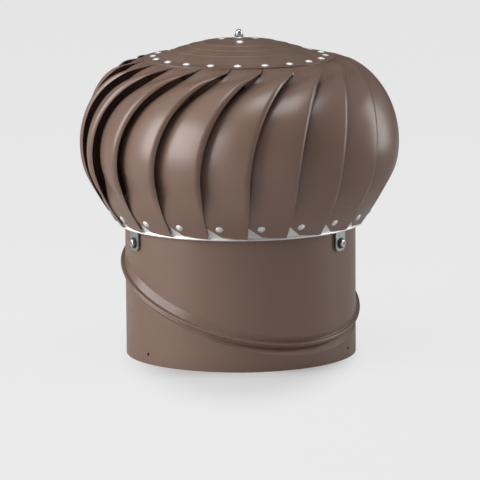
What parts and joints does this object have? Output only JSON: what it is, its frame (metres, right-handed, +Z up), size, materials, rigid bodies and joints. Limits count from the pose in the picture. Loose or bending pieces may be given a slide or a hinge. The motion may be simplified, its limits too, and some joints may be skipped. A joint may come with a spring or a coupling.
{
  "type": "roof turbine ventilator",
  "caption": "Roof turbine ventilator: a domed head of twenty overlapping curved vanes spins on a bearing post above a round two-part throat with an oblique swivel seam.",
  "frame": {"origin": "centre of the throat's lower edge, on the vertical axis", "axes": "+Z up along the throat and the turbine's spin axis; -Y faces the viewer of the picture, +X to the right"},
  "size_m": [0.4146, 0.4146, 0.4226],
  "materials": {
    "brown_paint": "satin",
    "bare_aluminium": "satin",
    "galvanised_steel": "satin",
    "zinc_plated_steel": "gloss",
    "bearing_steel": "gloss",
    "black_spring_steel": "satin",
    "cage_nylon": "matte",
    "black_rubber": "matte",
    "chrome": "gloss"
  },
  "bodies": {
    "lower_half": {"lower_throat": "brown_paint"},
    "upper_half": {"upper_throat": "brown_paint", "bracket_arm_1": "galvanised_steel", "bracket_arm_2": "galvanised_steel", "bracket_arm_3": "galvanised_steel", "bracket_grommets": "black_rubber", "bracket_screws": "zinc_plated_steel", "bracket_washers": "zinc_plated_steel", "bracket_nuts": "zinc_plated_steel", "bearing_housing": "galvanised_steel", "arm_bolts": "zinc_plated_steel", "arm_nuts": "zinc_plated_steel", "lower_bearing_outer_ring": "bearing_steel", "upper_bearing_outer_ring": "bearing_steel", "housing_retaining_rings": "black_spring_steel"},
    "turbine_head": {"cap": "brown_paint", "vane_01": "brown_paint", "vane_02": "brown_paint", "vane_03": "brown_paint", "vane_04": "brown_paint", "vane_05": "brown_paint", "vane_06": "brown_paint", "vane_07": "brown_paint", "vane_08": "brown_paint", "vane_09": "brown_paint", "vane_10": "brown_paint", "vane_11": "brown_paint", "vane_12": "brown_paint", "vane_13": "brown_paint", "vane_14": "brown_paint", "vane_15": "brown_paint", "vane_16": "brown_paint", "vane_17": "brown_paint", "vane_18": "brown_paint", "vane_19": "brown_paint", "vane_20": "brown_paint", "bottom_ring": "bare_aluminium", "cap_rivets": "bare_aluminium", "ring_rivets": "bare_aluminium", "hub_rivets": "bare_aluminium", "hub_plate": "galvanised_steel", "shaft": "bearing_steel", "dome_nut": "chrome", "lower_bearing_inner_ring": "bearing_steel", "upper_bearing_inner_ring": "bearing_steel", "bearing_spacer": "bearing_steel", "post_retaining_ring": "black_spring_steel"},
    "ball_sets": {"bearing_balls": "bearing_steel", "ball_cages": "cage_nylon"}
  },
  "joints": [
    {"name": "throat_swivel", "type": "hinge", "parent": "lower_half", "child": "upper_half", "pos_m": [0, 0, 0.0905], "axis": [0.2228, -0.3011, 0.9272], "continuous": true},
    {"name": "head_spin", "type": "hinge", "parent": "upper_half", "child": "turbine_head", "pos_m": [0, 0, 0.2], "axis": [0, 0, 1], "continuous": true},
    {"name": "ball_roll", "type": "hinge", "parent": "upper_half", "child": "ball_sets", "pos_m": [0, 0, 0.2], "axis": [0, 0, 1], "continuous": true}
  ],
  "couplings": [
    {"joint": "ball_roll", "follows": "head_spin", "ratio": 0.3636}
  ]
}
